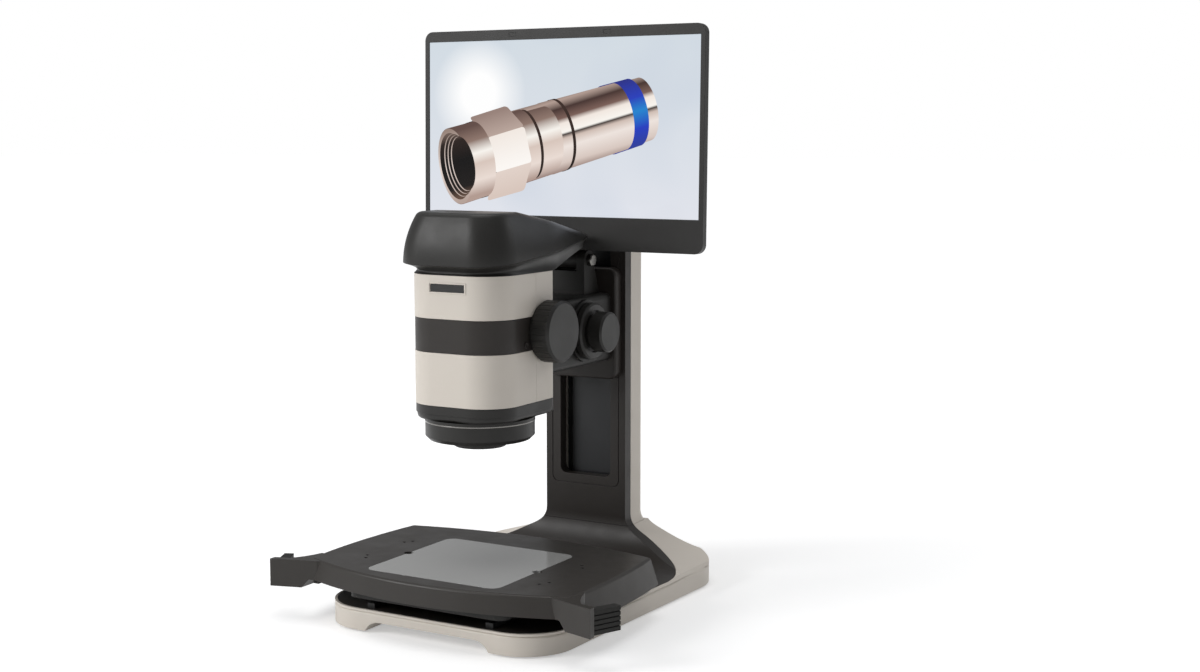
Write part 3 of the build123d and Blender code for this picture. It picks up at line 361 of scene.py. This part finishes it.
# Latch that closes the band, beside the zoom knob at the right, and its twin at the left
LATCH_Y = LENS_Y - 0.0035
right_latch = round_head(
    "right_band_latch",
    (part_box("head_band")[1][0] + 0.0006, LATCH_Y, 0.2925),
    RIGHT,
    0.0030,
    0.0022,
    charcoal,
    "head",
    bevel=0.0004,
    rim=0.25,
    sink=0.0005,
)
half_turn = math.pi
copy_piece(right_latch, "left_band_latch", "head", (0, 2 * LATCH_Y, 0), half_turn)


# Screws in the back of the column, two rows of three
column_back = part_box("column_shell")[1][1]
SCREW_X = 0.034
SCREW_HEIGHTS = (0.10, 0.25, 0.40)
first_screw = round_head(
    "column_screw_left1",
    (-SCREW_X, column_back, SCREW_HEIGHTS[0]),
    BACK,
    0.0035,
    0.0016,
    guide_steel,
    "base",
    bevel=0.0003,
    rim=0.5,
    sink=0.0008,
)
for side_name, across in (("left", 0), ("right", 2 * SCREW_X)):
    for row, height in enumerate(SCREW_HEIGHTS):
        shift = (across, 0, height - SCREW_HEIGHTS[0])
        if any(shift):
            name = "column_screw_" + side_name + str(row + 1)
            copy_piece(first_screw, name, "base", shift)


# The display
panel_low, panel_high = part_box("screen_panel")


def panel_point(right, up, layer):
    """Place on the display, right and up from the middle of its lower edge, layers before it."""
    out = layer * PANEL_LAYER
    return Vector(
        (
            right,
            panel_low[1] + up * math.sin(SCREEN_LEAN) - out * math.cos(SCREEN_LEAN),
            panel_low[2] + up * math.cos(SCREEN_LEAN) + out * math.sin(SCREEN_LEAN),
        )
    )


def display_ground(tree_nodes, links):
    """Pale blue-grey picture ground with soft white patches."""
    coordinates = tree_nodes.new("ShaderNodeTexCoord")
    split = tree_nodes.new("ShaderNodeSeparateXYZ")
    links.new(coordinates.outputs["Object"], split.inputs["Vector"])
    height = split.outputs["Z"]
    upwards = map_range(tree_nodes, links, height, 0.0, 1.0, panel_low[2], panel_high[2])
    ground = colour_mix(tree_nodes, links, upwards, tint(222, 225, 233), tint(209, 218, 226))
    blot = noise(tree_nodes, links, coordinates, 9.0, 1.0)
    soft = map_range(tree_nodes, links, blot.outputs["Fac"], 0.0, 0.55, 0.45, 0.7)
    ground = colour_mix(tree_nodes, links, soft, ground, tint(196, 206, 220))
    near = tree_nodes.new("ShaderNodeVectorMath")
    near.operation = "DISTANCE"
    links.new(coordinates.outputs["Object"], near.inputs[0])
    near.inputs[1].default_value = panel_point(-0.105, 0.135, 0)
    glow = map_range(tree_nodes, links, near.outputs["Value"], 1.0, 0.0, 0.022, 0.062)
    return colour_mix(tree_nodes, links, glow, ground, tint(253, 253, 253))


dress(lit("display_glass", display_ground), "screen_panel")

FITTING_TURN = math.radians(14.5)
FITTING_START = (-0.137, 0.0535)
FITTING_RADIUS = 0.0455
FITTING_END_RADIUS = 0.0365
FITTING_LENGTH = 0.250
ALONG = Vector((math.cos(FITTING_TURN), math.sin(FITTING_TURN)))


def across_fitting(stops):
    """Colour bands along the drawn fitting, given from its lower edge (0) to its upper edge (1)."""

    def maker(tree_nodes, links):
        coordinates = tree_nodes.new("ShaderNodeTexCoord")
        start = panel_point(FITTING_START[0], FITTING_START[1], 0)
        height = tree_nodes.new("ShaderNodeVectorMath")
        height.operation = "DOT_PRODUCT"
        links.new(coordinates.outputs["Object"], height.inputs[0])
        height.inputs[1].default_value = (-ALONG.y, 0, ALONG.x)
        middle = -ALONG.y * start.x + ALONG.x * start.z
        place = map_range(
            tree_nodes,
            links,
            height.outputs["Value"],
            0.0,
            1.0,
            middle - FITTING_RADIUS,
            middle + FITTING_RADIUS,
        )
        ramp = tree_nodes.new("ShaderNodeValToRGB")
        links.new(place, ramp.inputs["Fac"])
        bands = ramp.color_ramp.elements
        bands[0].position, bands[1].position = stops[0][0], stops[-1][0]
        bands[0].color, bands[1].color = stops[0][1] + (1,), stops[-1][1] + (1,)
        for position, colour in stops[1:-1]:
            bands.new(position).color = colour + (1,)
        return ramp.outputs["Color"]

    return maker


metal_bands = [
    (0.06, tint(150, 126, 118)),
    (0.16, tint(214, 198, 190)),
    (0.34, tint(236, 226, 220)),
    (0.44, tint(206, 188, 178)),
    (0.485, tint(44, 30, 26)),
    (0.51, tint(248, 244, 238)),
    (0.62, tint(240, 230, 222)),
    (0.68, tint(120, 92, 84)),
    (0.80, tint(66, 46, 42)),
    (0.90, tint(176, 154, 144)),
    (0.97, tint(120, 100, 92)),
]
neck_bands = [
    (0.08, tint(176, 152, 142)),
    (0.25, tint(232, 218, 210)),
    (0.45, tint(214, 196, 186)),
    (0.58, tint(246, 242, 236)),
    (0.74, tint(140, 116, 106)),
    (0.92, tint(96, 74, 68)),
]
blue_bands = [
    (0.10, tint(42, 58, 150)),
    (0.30, tint(32, 58, 190)),
    (0.50, tint(30, 130, 205)),
    (0.66, tint(36, 60, 186)),
    (0.90, tint(38, 44, 132)),
]
dark_bands = [(0.1, tint(34, 24, 20)), (0.9, tint(58, 40, 34))]
bore_bands = [
    (0.10, tint(96, 72, 58)),
    (0.22, tint(18, 12, 10)),
    (0.55, tint(6, 4, 4)),
    (0.80, tint(40, 28, 24)),
    (0.92, tint(110, 92, 84)),
]
rim_bands = [(0.05, tint(178, 158, 148)), (0.5, tint(226, 212, 204)), (0.95, tint(150, 130, 120))]
facet_low = [(0.0, tint(214, 196, 186)), (0.5, tint(232, 218, 210))]
facet_middle = [(0.3, tint(250, 246, 242)), (0.8, tint(238, 228, 220))]
facet_high = [(0.6, tint(196, 176, 166)), (1.0, tint(150, 128, 120))]


def set_in_picture(piece, layer, material):
    """Turn a flat shape into line with the drawn fitting and set it before the panel."""
    piece.rotation_euler = (0, 0, FITTING_TURN)
    bpy.ops.object.transform_apply(location=False, rotation=True, scale=False)
    piece.rotation_euler = (math.pi / 2 - SCREEN_LEAN, 0, 0)
    piece.location = panel_point(FITTING_START[0], FITTING_START[1], layer)
    return finish_piece(piece, material, "screen")


def drawn_roller(name, start, end, radius, end_radius, material, layer, squash=0.48):
    """Flat outline of a round length of the drawn fitting, from start to end along its axis."""
    piece = start_piece(
        name,
        bpy.ops.mesh.primitive_circle_add,
        vertices=56,
        radius=1,
        fill_type="NGON",
        location=(0, 0, 0),
    )
    bpy.ops.object.mode_set(mode="EDIT")
    bpy.ops.transform.resize(value=(radius * squash, radius, 1), center_override=(0, 0, 0))
    bpy.ops.transform.translate(value=(start, 0, 0))
    if end > start:
        narrowing = end_radius / radius
        pick_corners(piece, lambda place: place.x > start + 1e-7)
        bpy.ops.transform.resize(value=(narrowing, narrowing, 1), center_override=(start, 0, 0))
        bpy.ops.transform.translate(value=(end - start, 0, 0))
    bpy.ops.object.mode_set(mode="OBJECT")
    set_in_picture(piece, layer, material)


def drawn_facet(name, low, high, low_out, high_out, material, layer):
    """Flat of the drawn nut, between two heights; its ends stand out along the fitting."""
    piece = start_piece(name, bpy.ops.mesh.primitive_plane_add, size=2, location=(0, 0, 0))
    half_length = (NUT_END - NUT_START) / 2
    bpy.ops.object.mode_set(mode="EDIT")
    bpy.ops.transform.resize(value=(half_length, (high - low) / 2, 1), center_override=(0, 0, 0))
    pick_corners(piece, lambda place: place.y > 0)
    bpy.ops.transform.translate(value=(high_out - low_out, 0, 0))
    bpy.ops.mesh.select_all(action="SELECT")
    bpy.ops.transform.translate(value=(NUT_START + half_length + low_out, (low + high) / 2, 0))
    bpy.ops.mesh.bevel(offset=0.0035, segments=3, affect="VERTICES")
    bpy.ops.object.mode_set(mode="OBJECT")
    set_in_picture(piece, layer, material)


def fitting_radius(place):
    """Radius of the drawn fitting at a place along it, smaller towards the far end."""
    return FITTING_RADIUS + (FITTING_END_RADIUS - FITTING_RADIUS) * place / FITTING_LENGTH


picture_metal = lit("picture_metal", across_fitting(metal_bands))
picture_neck = lit("picture_neck", across_fitting(neck_bands))
picture_blue = lit("picture_blue", across_fitting(blue_bands))
picture_dark = lit("picture_dark", across_fitting(dark_bands))
picture_bore = lit("picture_bore", across_fitting(bore_bands))
picture_rim = lit("picture_rim", across_fitting(rim_bands))

# Lengths of the fitting from its tail to the nut: start, end and share of its radius
lengths = (
    ("picture_tail", 0.0, FITTING_LENGTH, 0.94, picture_metal),
    ("picture_band", 0.205, 0.237, 0.99, picture_blue),
    ("picture_barrel", 0.0, 0.219, 0.97, picture_metal),
    ("picture_collar_line", 0.138, 0.143, 0.99, picture_dark),
    ("picture_collar", 0.125, 0.1395, 0.98, picture_metal),
    ("picture_neck", 0.0, 0.129, 0.86, picture_neck),
    ("picture_groove", 0.095, 0.101, 0.93, picture_dark),
    ("picture_flange", 0.0, 0.097, 0.95, picture_neck),
)
for layer, (name, start, end, share, paint) in enumerate(lengths, 1):
    near_radius, far_radius = fitting_radius(start) * share, fitting_radius(end) * share
    drawn_roller(name, start, end, near_radius, far_radius, paint, layer)

# The nut: a dark shade behind three flats
NUT_START, NUT_END = 0.027, 0.078
nut_radius = FITTING_RADIUS * 1.06
shade_radius = nut_radius * 0.9
drawn_roller(
    "picture_nut_shade", NUT_START, NUT_END, shade_radius, shade_radius, picture_dark, 10, 0.5
)
facet_edges = (-1.0, -0.42, 0.42, 1.0)
facet_bulge = (0.12, 0.48, 0.48, 0.12)
facet_paints = (
    lit("picture_facet_low", across_fitting(facet_low)),
    lit("picture_facet_middle", across_fitting(facet_middle)),
    lit("picture_facet_high", across_fitting(facet_high)),
)
for row, paint in enumerate(facet_paints):
    low, high = (edge * nut_radius for edge in facet_edges[row : row + 2])
    low_out, high_out = (bulge * nut_radius for bulge in facet_bulge[row : row + 2])
    drawn_facet("picture_facet_" + str(row + 1), low, high, low_out, high_out, paint, 11)

# The mouth with its bore, and three turns of thread that go back into it
MOUTH_RADIUS = 0.0435
BORE_RADIUS = 0.0385
drawn_roller("picture_mouth", 0.0, 0.034, MOUTH_RADIUS, 0.043, picture_neck, 12)
drawn_roller("picture_mouth_rim", 0.0, 0.0, MOUTH_RADIUS, MOUTH_RADIUS, picture_rim, 13)
drawn_roller("picture_bore", 0.0, 0.0, BORE_RADIUS, BORE_RADIUS, picture_bore, 14)
THREAD_PITCH = 0.0035
for turn_number in range(3):
    back = turn_number * THREAD_PITCH
    reach = 0.0362 - turn_number * 0.0024
    inner_reach = reach - 0.0004
    crest, root = 0.0045 + back, 0.0056 + back
    number = str(turn_number + 1)
    layer = 15 + 2 * turn_number
    drawn_roller("picture_thread_" + number, crest, crest, reach, reach, picture_rim, layer, 0.47)
    drawn_roller(
        "picture_thread_shade_" + number,
        root,
        root,
        inner_reach,
        inner_reach,
        picture_bore,
        layer + 1,
        0.47,
    )


def back_face(name, right, height):
    """Depth (Y) of the outermost face of a CAD node, seen from behind."""
    spot = nodes[name].ray_cast((right, 1, height), (0, -1, 0))[1]
    return spot.y


# Cooling bars on the back of the screen, each seated on its leaning face
VENT_PITCH = 0.0042
vent_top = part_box("screen_back")[1][2] - 0.018
vent_depth = back_face("screen_back", 0.05, vent_top)
first_vent = soft_bar(
    "screen_vent_1",
    (0, vent_depth, vent_top),
    (0.11, 0.0012, 0.0018),
    window_black,
    "screen",
    bevel=0.0004,
)
for row in range(1, 7):
    drop = VENT_PITCH * row
    inwards = back_face("screen_back", 0.05, vent_top - drop) - vent_depth
    name = "screen_vent_" + str(row + 1)
    copy_piece(first_vent, name, "screen", (0, inwards, -drop))


def pale_floor():
    """Large white floor that the object stands on; it keeps the object's soft shadow, and its own
    light, weaker by the object, paints a shade round it.
    """
    bpy.ops.object.select_all(action="DESELECT")
    bpy.ops.mesh.primitive_plane_add(size=60, location=(0, 0, 0))
    floor = bpy.context.object
    floor.name = "floor"
    material, tree_nodes, links, shader = new_material("pale_floor")
    shader.inputs["Base Color"].default_value = (0.80, 0.80, 0.80, 1)
    shader.inputs["Specular IOR Level"].default_value = 0.1
    path = tree_nodes.new("ShaderNodeLightPath")
    shown = tree_nodes.new("ShaderNodeMath")
    shown.operation = "MAXIMUM"
    links.new(path.outputs["Is Camera Ray"], shown.inputs[0])
    links.new(path.outputs["Is Glossy Ray"], shown.inputs[1])
    coordinates = tree_nodes.new("ShaderNodeTexCoord")
    away = tree_nodes.new("ShaderNodeVectorMath")
    away.operation = "LENGTH"
    links.new(coordinates.outputs["Object"], away.inputs[0])
    grain = noise(tree_nodes, links, coordinates, 60.0, 2.0)
    dullness = map_range(tree_nodes, links, grain.outputs["Fac"], 0.68, 0.74)
    links.new(dullness, shader.inputs["Roughness"])
    lift = tree_nodes.new("ShaderNodeMath")
    lift.operation = "MULTIPLY"
    distance = away.outputs["Value"]
    # The floor's own light grows with distance: weaker by the object as painted shade, stronger far
    # off for an even white
    painted_shade_lift = map_range(tree_nodes, links, distance, FLOOR_LIFT_NEAR, FLOOR_LIFT_FAR, 0.3, 1.6)
    links.new(painted_shade_lift, lift.inputs[1])
    links.new(shown.outputs["Value"], lift.inputs[0])
    shader.inputs["Emission Color"].default_value = (1, 1, 1, 1)
    links.new(lift.outputs["Value"], shader.inputs["Emission Strength"])
    floor.data.materials.append(material)


def soft_light(name, place, aim, size, power):
    """Square area light at a place, aimed at a point."""
    data = bpy.data.lights.new(name, "AREA")
    data.shape = "SQUARE"
    data.size = size
    data.energy = power
    lamp = bpy.data.objects.new(name, data)
    lamp.location = place
    lamp.rotation_euler = (Vector(aim) - Vector(place)).to_track_quat("-Z", "Y").to_euler()
    bpy.context.collection.objects.link(lamp)


def white_studio():
    """Even white surroundings, a soft key from the left front, a top and a weak back light."""
    world = bpy.data.worlds.new("studio")
    bpy.context.scene.world = world
    world.use_nodes = True
    tree_nodes = world.node_tree.nodes
    links = world.node_tree.links
    ambient = tree_nodes["Background"]
    ambient.inputs["Color"].default_value = (0.97, 0.98, 1.0, 1)
    ambient.inputs["Strength"].default_value = AMBIENT
    seen = tree_nodes.new("ShaderNodeBackground")
    seen.inputs["Color"].default_value = (1, 1, 1, 1)
    seen.inputs["Strength"].default_value = 1.0
    path = tree_nodes.new("ShaderNodeLightPath")
    mix = tree_nodes.new("ShaderNodeMixShader")
    output = tree_nodes["World Output"]
    links.new(path.outputs["Is Camera Ray"], mix.inputs["Fac"])
    links.new(ambient.outputs["Background"], mix.inputs[1])
    links.new(seen.outputs["Background"], mix.inputs[2])
    links.new(mix.outputs["Shader"], output.inputs["Surface"])
    soft_light("key_light", (-1.9, -2.3, 1.7), (0, 0, 0.25), 1.3, KEY_POWER)
    soft_light("top_light", (-0.3, -0.1, 2.6), (0, 0, 0.2), 1.8, TOP_POWER)
    soft_light("back_light", (1.6, 1.6, 1.6), (0, 0, 0.3), 1.0, BACK_POWER)


def photo_camera():
    """Camera at the photograph's place."""
    data = bpy.data.cameras.new("camera")
    data.sensor_fit = "HORIZONTAL"
    data.sensor_width = 36
    data.lens = CAMERA_LENS
    camera = bpy.data.objects.new("camera", data)
    camera.location = CAMERA_PLACE
    camera.rotation_euler = (math.radians(90 - CAMERA_DIP), 0, math.radians(CAMERA_TURN))
    bpy.context.collection.objects.link(camera)
    bpy.context.scene.camera = camera


pale_floor()
white_studio()
photo_camera()
bpy.context.scene.view_settings.view_transform = "Standard"
